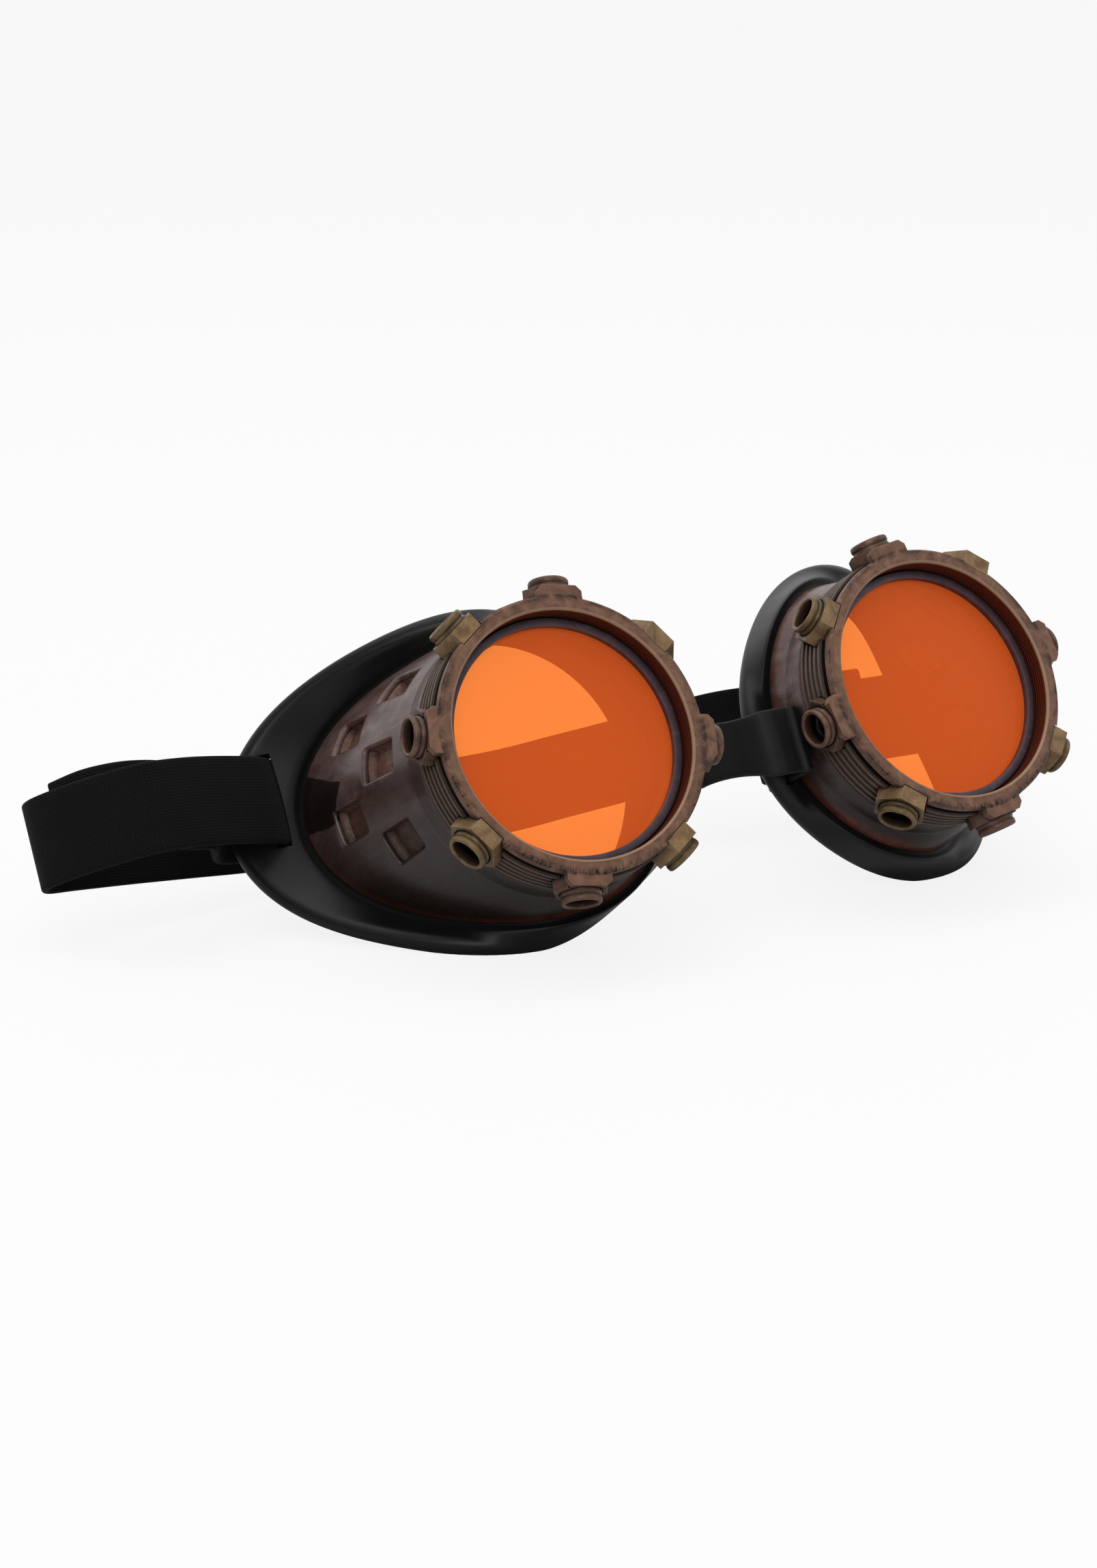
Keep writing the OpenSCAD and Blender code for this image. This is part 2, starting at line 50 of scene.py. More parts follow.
# Camera, where the photograph was taken from
view = dict(place=(-0.3582, -0.5937, 0.2211), right=(0.866, -0.4999, 0), up=(0.136, 0.2355, 0.962), lens=78,
            sensor=36)
camera = bpy.data.cameras.new("studioCamera")
camera.lens, camera.sensor_width = view["lens"], view["sensor"]
camera.clip_start, camera.clip_end = 0.01, 60
cameraObject = bpy.data.objects.new("studioCamera", camera)
scene.collection.objects.link(cameraObject)
sideways = np.array(view["right"]) / np.linalg.norm(view["right"])
backwards = np.cross(sideways, view["up"])
backwards /= np.linalg.norm(backwards)
turned = np.column_stack([sideways, np.cross(backwards, sideways), backwards])
cameraObject.matrix_world = Matrix.Translation(view["place"]) @ Matrix(turned.tolist()).to_4x4()
scene.camera = cameraObject

# How the goggles stand on the table: cup spacing, pitch, yaw, roll and the upright frame's origin
stance = dict(spacing=91, pitch=31, yaw=2.3, roll=10, origin=(17.45, -32.2921, 47.4959))
sides = {"left": -1, "right": 1}


# Upright frame to the table, tilted back by the pitch round X
def stood(points):
    x, y, z = np.moveaxis(np.asarray(points, float), -1, 0)
    c, s = math.cos(stance["pitch"] * degree), math.sin(stance["pitch"] * degree)
    return (np.stack([x, c * y + s * z, c * z - s * y], -1) + stance["origin"]) * mm


# Cup frame (x to the temple, y up, z out of the lens) to the table: rolled, yawed, mirrored for the left
def placed(points, side):
    x, y, z = np.moveaxis(np.asarray(points, float), -1, 0)
    roll, yaw = stance["roll"] * degree, stance["yaw"] * degree
    across = x * math.cos(roll) - y * math.sin(roll)
    out = stance["spacing"] / 2 + across * math.cos(yaw) + z * math.sin(yaw)
    back = across * math.sin(yaw) - z * math.cos(yaw)
    return stood(np.stack([out * side, back, x * math.sin(roll) + y * math.cos(roll)], -1))


# Quads of a grid of points, with the last row or column joined to the first if asked
def gridFaces(rows, columns, joinRows=False, joinColumns=False):
    starts = np.arange(rows - (not joinRows)), np.arange(columns - (not joinColumns))
    i, j = (index.ravel() for index in np.meshgrid(*starts, indexing="ij"))
    k, n = (i + 1) % rows, (j + 1) % columns
    return np.stack([i * columns + j, i * columns + n, k * columns + n, k * columns + j], -1)


# Tube of sections, joined round each section and capped at its ends
def sleeve(rows):
    n, m = rows.shape[:2]
    return gridFaces(n, m, joinColumns=True).tolist() + [list(range(m)), list(range((n - 1) * m, n * m))]


# Mesh piece from points and faces, with its faces turned outwards and smooth up to an angle
def piece(name, points, faces, material, sharp=35, spans=None, layer="Weave"):
    mesh = bpy.data.meshes.new(name)
    mesh.from_pydata(np.asarray(points).reshape(-1, 3).tolist(), [], [list(f) for f in faces])
    if spans is not None:
        mesh.uv_layers.new(name=layer).data.foreach_set("uv", np.asarray(spans, np.float32).ravel())
    made = bpy.data.objects.new(name, mesh)
    scene.collection.objects.link(made)
    mesh.materials.append(material)
    outwards(mesh, sharp)
    return made


def outwards(mesh, sharp):
    work = bmesh.new()
    work.from_mesh(mesh)
    bmesh.ops.recalc_face_normals(work, faces=work.faces)
    work.to_mesh(mesh)
    work.free()
    mesh.polygons.foreach_set("use_smooth", np.ones(len(mesh.polygons), bool))
    mesh.set_sharp_from_angle(angle=sharp * degree)


# Modifiers worked into the mesh
def settle(made, sharp):
    done = bpy.data.meshes.new_from_object(made.evaluated_get(bpy.context.evaluated_depsgraph_get()))
    done.name = made.name
    made.modifiers.clear()
    made.data = done
    outwards(done, sharp)
    return made


# Linear colour from the eye's 0 to 255
def tone(red, green, blue):
    c = np.array([red, green, blue]) / 255
    return (*np.where(c <= 0.04045, c / 12.92, ((c + 0.055) / 1.055) ** 2.4).tolist(), 1)


# Another node's output is wired to the socket, and a plain number or colour is written into it
def wire(tree, socket, value):
    if isinstance(value, bpy.types.NodeSocket):
        tree.links.new(value, socket)
    else:
        socket.default_value = value


# One shader node; values go into its sockets by name or number
def node(tree, kind, into=None, out=0, **settings):
    made = tree.nodes.new("ShaderNode" + kind)
    for key, value in settings.items():
        setattr(made, key, value)
    for key, value in (into or {}).items():
        wire(tree, made.inputs[key], value)
    return made.outputs[out]


def sum2(tree, a, b):
    return node(tree, "Math", {0: a, 1: b}, operation="ADD")


def minus(tree, a, b):
    return node(tree, "Math", {0: a, 1: b}, operation="SUBTRACT")


def times(tree, a, b):
    return node(tree, "Math", {0: a, 1: b}, operation="MULTIPLY")


def larger(tree, a, b):
    return node(tree, "Math", {0: a, 1: b}, operation="MAXIMUM")


def sine(tree, value):
    return node(tree, "Math", {0: value}, operation="SINE")


# X, Y or Z of a vector
def pick(tree, vector, axis):
    return node(tree, "SeparateXYZ", {0: vector}, out=axis)


# 0 to 1 as a value goes from low to high, or 1 to 0 where low is above high
def ramp(tree, value, low, high):
    return node(tree, "MapRange", {"Value": value, "From Min": low, "From Max": high}, clamp=True)


def blendTone(tree, share, under, over):
    return node(tree, "Mix", {0: share, 6: under, 7: over}, out=2, data_type="RGBA", clamp_factor=True)


def cloud(tree, place, scale, detail, rough, swirl=0):
    return node(tree, "TexNoise", {"Vector": place, "Scale": scale, "Detail": detail, "Roughness": rough,
                                   "Distortion": swirl})


def bump(tree, strength, deep, height, **others):
    return node(tree, "Bump", dict(Strength=strength, Distance=deep * mm, Height=height, **others))


# Values for a shader's sockets, whose names have an underscore for each space here
def apply(tree, shader, **sockets):
    for key, value in sockets.items():
        wire(tree, shader.inputs[key.replace("_", " ")], value)


def finish(name, **sockets):
    material = bpy.data.materials.new(name)
    material.use_nodes = True
    tree = material.node_tree
    shader = tree.nodes["Principled BSDF"]
    apply(tree, shader, **sockets)
    return material, tree, shader


def sided(name, side):
    return name + ("Right" if side > 0 else "Left")


# Object coordinates in millimetres
def millimetres(tree):
    return node(tree, "Mapping", {"Vector": node(tree, "TexCoord", out=3), "Scale": (1 / mm, 1 / mm, 1 / mm)})


# A cup's own frame in millimetres as texture place, with radius, depth and compass direction
def cupPlace(tree, side):
    start = placed([0, 0, 0], side)
    axes = [(placed(step, side) - start) / mm for step in ([1, 0, 0], [0, 1, 0], [0, 0, 1])]
    axes[0] = axes[0] * side
    turn = Matrix([list(row) for row in np.column_stack(axes)]).to_euler("XYZ")
    place = node(tree, "Mapping", {"Vector": node(tree, "TexCoord", out=3), "Location": start.tolist(),
                                   "Rotation": list(turn), "Scale": (side * mm, mm, mm)},
                 vector_type="TEXTURE")
    split = tree.nodes.new("ShaderNodeSeparateXYZ")
    tree.links.new(place, split.inputs[0])
    flat = node(tree, "CombineXYZ", {"X": split.outputs[0], "Y": split.outputs[1]})
    radius = node(tree, "VectorMath", {0: flat}, out=1, operation="LENGTH")
    around = node(tree, "VectorMath", {0: flat}, operation="NORMALIZE")
    angle = times(tree, node(tree, "Math", {0: split.outputs[1], 1: split.outputs[0]}, operation="ARCTAN2"),
                  1 / degree)
    depth = times(tree, split.outputs[2], -1)
    return dict(place=place, radius=radius, around=around, angle=angle, depth=depth)


# Noise drawn out along the radius or along the cup: fast round the cup, slow the other way
def streaks(tree, at, fast, slow, value):
    lengthwise = node(tree, "CombineXYZ", {"Z": times(tree, value, slow)})
    circle = node(tree, "VectorMath", {0: at["around"], "Scale": fast}, operation="SCALE")
    place = node(tree, "VectorMath", {0: circle, 1: lengthwise}, operation="ADD")
    return cloud(tree, place, 1, detail=4, rough=0.6)


# 1 within a band of radius and a band of depth, each given as the values where it fades from 0 to 1
def within(tree, at, radius, depth):
    return times(tree, ramp(tree, at["radius"], *radius), ramp(tree, at["depth"], *depth))


# How much a rounded edge turns the surface, near 1 on outer and inner edges and 0 on flats; and its normal
def edges(tree, radius, low, high):
    soft = node(tree, "Bevel", {"Radius": radius * mm}, samples=6)
    plain = node(tree, "NewGeometry", out=1)
    turn = node(tree, "VectorMath", {0: soft, 1: plain}, out=1, operation="DOT_PRODUCT")
    return ramp(tree, turn, high, low), soft


# How deep a place lies in a corner or hollow of the given width: 0 in the open, 1 well inside
def recess(tree, width, low, high):
    openness = node(tree, "AmbientOcclusion", {"Distance": width * mm}, out=1, samples=6)
    return ramp(tree, openness, high, low)


# Nuts and studs stand on evenly spaced spokes of the ring, bronze and brass in turn
nuts = dict(depth=5.2, spacing=45, studSteps=56, tip=0.02)


# Place round the nearest stud: distance from its spoke and height along it
def spokePlace(tree, at):
    halfway = sum2(tree, at["angle"], nuts["spacing"] / 2)
    nearest = node(tree, "Math", {0: halfway, 1: nuts["spacing"]}, operation="SNAP")
    turn = times(tree, minus(tree, at["angle"], nearest), degree)
    beside = times(tree, at["radius"], sine(tree, turn))
    along = times(tree, at["radius"], node(tree, "Math", {0: turn}, operation="COSINE"))
    flat = node(tree, "CombineXYZ", {"X": beside, "Y": sum2(tree, at["depth"], -nuts["depth"])})
    return node(tree, "VectorMath", {0: flat}, out=1, operation="LENGTH"), along


# Bronze and brass paint over dark plastic: mottled coat, a dark wash that also stands for painted shade in
# the corners, worn edges
paints = dict(
    bronze=dict(light=(138, 102, 82), dark=(97, 69, 55), wash=(23, 19, 21), worn=(174, 143, 121), shine=0.44),
    bronzeNut=dict(light=(120, 88, 72), dark=(78, 55, 45), wash=(22, 18, 20), worn=(176, 148, 130),
                   shine=0.42),
    brass=dict(light=(156, 126, 90), dark=(108, 84, 57), wash=(26, 20, 15), worn=(184, 162, 122), shine=0.4),
    stud=dict(light=(126, 95, 79), dark=(80, 58, 47), wash=(18, 13, 12), worn=(182, 156, 134), shine=0.34),
    brassStud=dict(light=(138, 114, 78), dark=(90, 72, 47), wash=(18, 14, 10), worn=(186, 164, 122),
                   shine=0.34),
    retainer=dict(light=(104, 86, 94), dark=(84, 69, 78), wash=(28, 22, 25), worn=(124, 108, 113), shine=0.3))
# On the ring: ridges of the band with painted shade in the grooves and a painted highlight on the crests,
# wash on the flange, and the bare barrel with its pale lip
ridges = dict(start=3.1, pitch=1.66, crest=0.4, high=(112, 86, 73), low=(22, 15, 13), strength=0.92,
              band=(27.3, 27.5), bandFront=(1.95, 2.15), firstCrest=(2.9, 3.2))
flange = dict(depth=(0.7, 0.3), wash=(27.5, 28.8), edge=(29.4, 29.1), scratches=60, washStrength=0.75)
barrel = dict(radius=(26.35, 26.25), depth=(0.45, 0.8), turnings=8.5, dark=(44, 16, 10), light=(108, 48, 27),
              lipRadius=(26.55, 26.4), lipDepth=(0.5, 0.35), lip=(166, 138, 112))
# In the studs: dark bores that darken further in as painted shade, with the compass direction of each cup's
# one low solid stud
bores = dict(radius=(3.5, 3.3), mouth=(33.6, 33.3), shadeFade=(33.4, 31.4), rim=(74, 52, 42), dark=(15, 9, 8))
lowStud = {-1: 135, 1: 45}


def paint(kind, side):
    look = paints[kind]
    material, tree, shader = finish(sided(kind, side), Metallic=0.1, IOR=1.5,
                                    Specular_IOR_Level=0.22, Coat_Weight=0.05, Coat_Roughness=0.25)
    at = cupPlace(tree, side)
    mottle = cloud(tree, at["place"], 0.32, detail=4, rough=0.6, swirl=0.6)
    grain = cloud(tree, at["place"], 5, detail=3, rough=0.7)
    colour = blendTone(tree, ramp(tree, sum2(tree, mottle, times(tree, grain, 0.35)), 0.48, 0.86),
                       tone(*look["light"]), tone(*look["dark"]))
    # Occlusion in corners and hollows: the dark wash laid there is also painted shade
    cornerWashAndShade = recess(tree, 2.4, low=0.4 if kind == "bronze" else 0.5, high=0.93)
    share = times(tree, cornerWashAndShade, ramp(tree, mottle, 0.1, 0.42))
    height = sum2(tree, times(tree, grain, 0.4), times(tree, mottle, 0.5))
    if kind == "bronze":
        # On the flange, wash darkens the outer third and is scratched through along the bottom
        front = ramp(tree, at["depth"], *flange["depth"])
        scratch = streaks(tree, at, fast=flange["scratches"], slow=0.4, value=at["radius"])
        below = ramp(tree, pick(tree, at["around"], 1), -0.25, -0.75)
        outer = times(tree, ramp(tree, at["radius"], *flange["wash"]),
                      ramp(tree, at["radius"], *flange["edge"]))
        scratched = times(tree, times(tree, below, outer), ramp(tree, scratch, 0.52, 0.6))
        shaded = times(tree, times(tree, outer, ramp(tree, mottle, 0.36, 0.6)), flange["washStrength"])
        share = sum2(tree, share, times(tree, sum2(tree, scratched, shaded), front))
        # Ridges round the band: pale crests as a painted highlight and dark grooves as painted shade, as a
        # cosine of the depth
        turns = ridges["start"] / ridges["pitch"] + ridges["crest"]
        wave = node(tree, "Math", {0: sum2(tree, times(tree, at["depth"], math.tau / ridges["pitch"]),
                                           -math.tau * turns)}, operation="COSINE")
        onBand = within(tree, at, ridges["band"], ridges["bandFront"])
        crest = times(tree, ramp(tree, wave, -0.1, 0.9), ramp(tree, at["depth"], *ridges["firstCrest"]))
        crest = times(tree, crest, ramp(tree, grain, 0.2, 0.5))
        colour = blendTone(tree, times(tree, onBand, ridges["strength"]), colour,
                           blendTone(tree, crest, tone(*ridges["low"]), tone(*ridges["high"])))
    # Dark wash over the flange's outer third and the corners, where it is painted shade as well
    colour = blendTone(tree, share, colour, tone(*look["wash"]))
    rim, soft = edges(tree, 0.28, low=0.86, high=0.985)
    rubbed = times(tree, times(tree, rim, ramp(tree, grain, 0.4, 0.6)), ramp(tree, cornerWashAndShade, 0.75, 0.2))
    colour = blendTone(tree, times(tree, rubbed, 0.8), colour, tone(*look["worn"]))
    if kind == "bronze":
        # Bare red-brown plastic inside the barrel, with turned lines, and a pale lip where the paint ends
        inside = within(tree, at, barrel["radius"], barrel["depth"])
        rings = sine(tree, times(tree, at["depth"], barrel["turnings"]))
        colour = blendTone(tree, inside, colour, blendTone(tree, ramp(tree, rings, -0.2, 0.9),
                                                           tone(*barrel["dark"]), tone(*barrel["light"])))
        lip = within(tree, at, barrel["lipRadius"], barrel["lipDepth"])
        colour = blendTone(tree, times(tree, lip, 0.75), colour, tone(*barrel["lip"]))
        height = sum2(tree, height, times(tree, times(tree, rings, inside), 1.2))
    if kind in ("stud", "brassStud"):
        # Unpainted dark bore that darkens further in as painted shade, but none in the low stud
        away, along = spokePlace(tree, at)
        hollow = times(tree, ramp(tree, away, *bores["radius"]), ramp(tree, along, *bores["mouth"]))
        if kind == "brassStud":
            fromLow = node(tree, "Math", {0: sum2(tree, at["angle"], -lowStud[side])}, operation="ABSOLUTE")
            hollow = times(tree, hollow, ramp(tree, fromLow, nuts["spacing"] / 2 - 0.5, nuts["spacing"] / 2))
        colour = blendTone(tree, hollow, colour, blendTone(tree, ramp(tree, along, *bores["shadeFade"]),
                                                           tone(*bores["rim"]), tone(*bores["dark"])))
    rough = sum2(tree, times(tree, mottle, 0.16), look["shine"] - 0.05)
    apply(tree, shader, Base_Color=colour, Roughness=rough, Normal=bump(tree, 0.35, 0.1, height, Normal=soft))
    return material


# Glossy brown shell: brushed brown coat with cooler blots, painted shade underneath and in its hollows, red
# where the rim is thin, and a bare dark patch behind the vents; each line of the patch is an angle or depth
# and how fast it slants
shellLook = dict(coat=(116, 91, 85), cool=(96, 90, 96), thin=(77, 50, 42), under=(31, 21, 17),
                 bare=(17, 10, 8), red=(118, 52, 28), deep=(15, 13, 15), rimWidth=2.8, mapDepth=20,
                 patch=dict(top=(2.8, 0.586), bottom=(-11.4, 0.186), front=(41.5, 0.352)))


def shellPaint(side):
    material, tree, shader = finish(sided("shellBrown", side), Metallic=0.1, IOR=1.5,
                                    Specular_IOR_Level=0.44)
    at = cupPlace(tree, side)
    web = node(tree, "UVMap", uv_map="Shell")
    fromRim = times(tree, pick(tree, web, 1), shellLook["mapDepth"])
    across, up = (pick(tree, at["around"], axis) for axis in (0, 1))
    brush = streaks(tree, at, fast=10, slow=0.05, value=at["depth"])
    mottle = cloud(tree, at["place"], 0.16, detail=4, rough=0.6, swirl=1.2)
    blot = cloud(tree, at["place"], 0.5, detail=3, rough=0.6, swirl=0.5)
    mix = sum2(tree, times(tree, brush, 0.5), sum2(tree, times(tree, mottle, 0.6), times(tree, blot, 0.25)))
    coat = blendTone(tree, ramp(tree, sum2(tree, blot, times(tree, brush, 0.4)), 0.6, 0.85),
                     tone(*shellLook["coat"]), tone(*shellLook["cool"]))
    colour = blendTone(tree, ramp(tree, mix, 0.52, 0.84), coat, tone(*shellLook["thin"]))
    # Painted shade: the coat turns dark on the downward-facing part of the cup
    colour = blendTone(tree, times(tree, ramp(tree, up, 0.3, -0.62), 0.94), colour, tone(*shellLook["under"]))
    thinRim = times(tree, ramp(tree, fromRim, shellLook["rimWidth"], 0.3), ramp(tree, blot, 0.25, 0.6))
    lowNose = ramp(tree, sum2(tree, times(tree, across, 0.5), up), 0.1, -0.9)
    colour = blendTone(tree, times(tree, thinRim, sum2(tree, times(tree, lowNose, 0.6), 0.35)), colour,
                       tone(*shellLook["red"]))
    # The patch lies between a top and a bottom line, behind a front line, all slanting in angle and depth
    wavy = sum2(tree, at["angle"], sum2(tree, times(tree, mottle, 1.5), -0.75))
    patch = shellLook["patch"]
    back = sum2(tree, at["depth"], -patch["front"][0])
    under = minus(tree, sum2(tree, times(tree, back, patch["top"][1]), patch["top"][0]), wavy)
    over = minus(tree, wavy, sum2(tree, times(tree, back, patch["bottom"][1]), patch["bottom"][0]))
    slant = patch["front"][1]
    behind = sum2(tree, back, sum2(tree, times(tree, wavy, slant), -slant * patch["top"][0]))
    bare = times(tree, times(tree, ramp(tree, under, 0, 0.4), ramp(tree, over, 0, 0.4)),
                 ramp(tree, behind, 0, 0.4))
    colour = blendTone(tree, times(tree, bare, 0.92), colour, tone(*shellLook["bare"]))
    _, soft = edges(tree, 0.3, low=0.86, high=0.985)
    # Painted shade in the shell's hollows: darker and duller there
    deep = recess(tree, 2.0, low=0.35, high=0.85)
    colour = blendTone(tree, deep, colour, tone(*shellLook["deep"]))
    height = sum2(tree, times(tree, blot, 0.4), times(tree, brush, 0.6))
    rough = sum2(tree, times(tree, mottle, 0.2), sum2(tree, times(tree, deep, 0.4), 0.19))
    apply(tree, shader, Base_Color=colour, Roughness=rough,
          Normal=bump(tree, 0.11, 0.08, height, Normal=soft))
    return material


# Inside of the shell: plain dull brown with a slow mottle
insideLook = dict(light=(52, 33, 27), dark=(34, 22, 19))


def insidePaint():
    material, tree, shader = finish("shellInside", IOR=1.5, Specular_IOR_Level=0.25)
    mottle = cloud(tree, millimetres(tree), 0.15, detail=3, rough=0.55, swirl=0.6)
    colour = blendTone(tree, ramp(tree, mottle, 0.3, 0.7), tone(*insideLook["light"]),
                       tone(*insideLook["dark"]))
    apply(tree, shader, Base_Color=colour, Roughness=sum2(tree, times(tree, mottle, 0.2), 0.45))
    return material


# Brown panels behind the vents: painted shade on the low ones and in the corners of their wells
louvreLook = dict(light=(118, 80, 62), dark=(70, 43, 32), low=(30, 20, 16), deep=(27, 24, 26))


def louvrePaint(side):
    material, tree, shader = finish(sided("louvreBrown", side), Metallic=0.1, IOR=1.5,
                                    Specular_IOR_Level=0.35)
    at = cupPlace(tree, side)
    mottle = cloud(tree, at["place"], 0.6, detail=4, rough=0.6)
    fine = streaks(tree, at, fast=40, slow=0.5, value=at["depth"])
    colour = blendTone(tree, ramp(tree, sum2(tree, mottle, times(tree, fine, 0.3)), 0.45, 0.85),
                       tone(*louvreLook["light"]), tone(*louvreLook["dark"]))
    # Painted shade: the panels on the lower side of the cup are darker
    low = ramp(tree, pick(tree, at["around"], 1), 0.05, -0.45)
    colour = blendTone(tree, times(tree, low, 0.7), colour, tone(*louvreLook["low"]))
    # Painted shade in the corners of the wells
    colour = blendTone(tree, recess(tree, 2.6, low=0.3, high=0.75), colour, tone(*louvreLook["deep"]))
    apply(tree, shader, Base_Color=colour, Roughness=sum2(tree, times(tree, mottle, 0.25), 0.33),
          Normal=bump(tree, 0.3, 0.08, fine))
    return material


# Black moulded rubber with a faint bloom and fine skin; hollows of a given groove width are darker, as
# painted shade, and duller
rubbers = dict(
    padRubber=dict(colour=(6, 6, 6), rough=0.35, bloom=0.5, groove=7),
    bridgeRubber=dict(colour=(7, 7, 8), rough=0.54, bloom=0.4, groove=0),
    gasketRubber=dict(colour=(26, 18, 16), rough=0.5, bloom=0.3, groove=0),
    sliderPlastic=dict(colour=(16, 16, 17), rough=0.34, bloom=0.3, groove=0))


def rubber(name):
    look = rubbers[name]
    material, tree, shader = finish(name, IOR=1.5, Specular_IOR_Level=0.26, Sheen_Weight=0.02,
                                    Sheen_Roughness=0.4)
    place = millimetres(tree)
    skin = cloud(tree, place, 2.2, detail=4, rough=0.65)
    patch = cloud(tree, place, 0.07, detail=3, rough=0.6, swirl=0.8)
    shade = blendTone(tree, times(tree, ramp(tree, patch, 0.42, 0.72), look["bloom"]), tone(*look["colour"]),
                      tone(*(c + 9 for c in look["colour"])))
    dull = sum2(tree, times(tree, sum2(tree, patch, times(tree, skin, 0.4)), 0.22), look["rough"] - 0.14)
    # Painted shade in the hollows of the pad's groove
    if look["groove"]:
        deep = recess(tree, look["groove"], low=0.35, high=0.8)
        shade = blendTone(tree, deep, shade, tone(3, 3, 3))
        dull = sum2(tree, dull, times(tree, deep, 0.4))
    _, soft = edges(tree, 0.25, low=0.8, high=0.99)
    apply(tree, shader, Base_Color=shade, Roughness=dull, Normal=bump(tree, 0.2, 0.05, skin, Normal=soft))
    return material


# Black knitted elastic, mapped by its own length and width: short stitches in rows that are shifted in turn
knit = dict(rib=0.62, stitch=0.9, shift=1.4, dark=(5, 5, 5), light=(22, 21, 22))


def webbing():
    material, tree, shader = finish("blackElastic", Sheen_Weight=0.03, Sheen_Roughness=0.5, IOR=1.4,
                                    Specular_IOR_Level=0.2)
    web = node(tree, "UVMap", uv_map="Weave")
    along, across = (times(tree, pick(tree, web, axis), 1 / mm) for axis in (0, 1))
    rib = sine(tree, times(tree, across, math.tau / knit["rib"]))
    shift = times(tree, sine(tree, times(tree, across, math.pi / knit["rib"])), knit["shift"])
    yarn = sine(tree, sum2(tree, times(tree, along, math.tau / knit["stitch"]), shift))
    place = node(tree, "CombineXYZ", {"X": along, "Y": across})
    fuzz = cloud(tree, place, 2.6, detail=4, rough=0.75)
    patch = cloud(tree, place, 0.12, detail=3, rough=0.6)
    height = sum2(tree, times(tree, rib, 0.4), sum2(tree, times(tree, yarn, 0.35), times(tree, fuzz, 1.3)))
    light = ramp(tree, sum2(tree, height, times(tree, patch, 1.2)), 0.7, 2.2)
    apply(tree, shader, Base_Color=blendTone(tree, light, tone(*knit["dark"]), tone(*knit["light"])),
          Roughness=sum2(tree, times(tree, fuzz, 0.2), 0.78), Normal=bump(tree, 0.45, 0.15, height))
    return material


# Amber sheet: it lets tinted light through, scatters some of it back, and gives off an orange painted glow
# for light coming through it from behind
amber = dict(through=(1, 0.6, 0.28, 1), glow=(1, 0.2, 0.04, 1), share=0.33, light=0.3)


def lensGlass():
    material, tree, shader = finish("amberLens", Base_Color=amber["glow"], Roughness=0.1, IOR=1.45,
                                    Specular_IOR_Level=0.12, Emission_Color=amber["glow"],
                                    Emission_Strength=amber["light"])
    clear = node(tree, "BsdfTransparent", {"Color": amber["through"]})
    sheet = node(tree, "MixShader", {0: amber["share"], 1: clear, 2: shader.outputs[0]})
    tree.links.new(sheet, tree.nodes["Material Output"].inputs["Surface"])
    return material


webCloth, lensAmber, shellInside = webbing(), lensGlass(), insidePaint()
padRubber, bridgeRubber, gasketRubber, sliderPlastic = (rubber(name) for name in rubbers)
print("finishes mixed")

# Flat band standing along a route: at each station a rounded strip of the given height across the way
strap = dict(width=19, thick=1.5, height=9.8, steps=8, slotFront=(87.4, 57.7, 0), slotRear=(81.7, 63.2, 0),
             rear=70.8, tail=67.1)
strapRoute = [
    (-130.5, 65, 2.6), (-126.1, 58, 2.6), (-120.4, 53.3, 2), (-115, 51, 1), (-109, 51.4, 0),
    (-104.5, 53.6, 0), (-101.5, 58, 0), (-99.5, 63.5, 0), (-96.5, 68.5, 0), (-91, 71, 0), (-85, 71.2, 0),
    (-80.5, 69.5, 0), (-79.5, 66, 0), (-81.7, 63.2, 0), (-87.4, 57.7, 0), (-93.6, 54.6, 0),
    (-101, 51.5, 0), (-108, 49.5, 0), (-115.5, 49, 0), (-121.5, 51.5, 0), (-127.8, 56.3, 0),
    (-133, 62, 0), (-135.4, 66.8, 0), (-134, 70.6, 0), (-127, 71.8, 0), (-113.5, 74.5, 0), (-99, 78, 0),
    (-83, 80.5, -0.3), (-57, 82, -0.5), (-25, 81, -0.8), (-5, 79, 0.4), (10.5, 75, 1.1), (18.5, 68.6, 1),
    (26, 62.4, 0.6), (34.5, 60.5, 0.3), (42, 62, 0), (47.5, 66.5, 0), (52, 69.9, 0),
    (57, strap["rear"], 0), (62, strap["rear"], 0), (90, strap["rear"], 0), (97, 69.5, 0), (100.5, 66, 0),
    (100.5, 61.5, 0), (98, 58, 0), (93, 56.2, 0), strap["slotFront"], strap["slotRear"], (79.4, 65.8, 0),
    (76.5, strap["tail"], 0), (72, strap["tail"], 0), (54, strap["tail"], 0)]


# Catmull-Rom curve: each span is a cubic through its two ends, with slopes from the points on either side
def curve(route, steps):
    p = np.array(route, float)
    p = np.vstack([p[:1], p, p[-1:]])
    a, b, c, d = (p[k:len(p) - 3 + k][:, None] for k in range(4))
    t = (np.arange(steps) / steps)[None, :, None]
    spans = b + (c - a) * t / 2 + (2 * a - 5 * b + 4 * c - d) * t**2 / 2 + (3 * b - a - 3 * c + d) * t**3 / 2
    return np.vstack([spans.reshape(-1, 3), p[-1:]])


# Distance along a line of points from its first one
def travelled(line):
    return np.concatenate([[0], np.cumsum(np.linalg.norm(np.diff(line, axis=0), axis=1))])


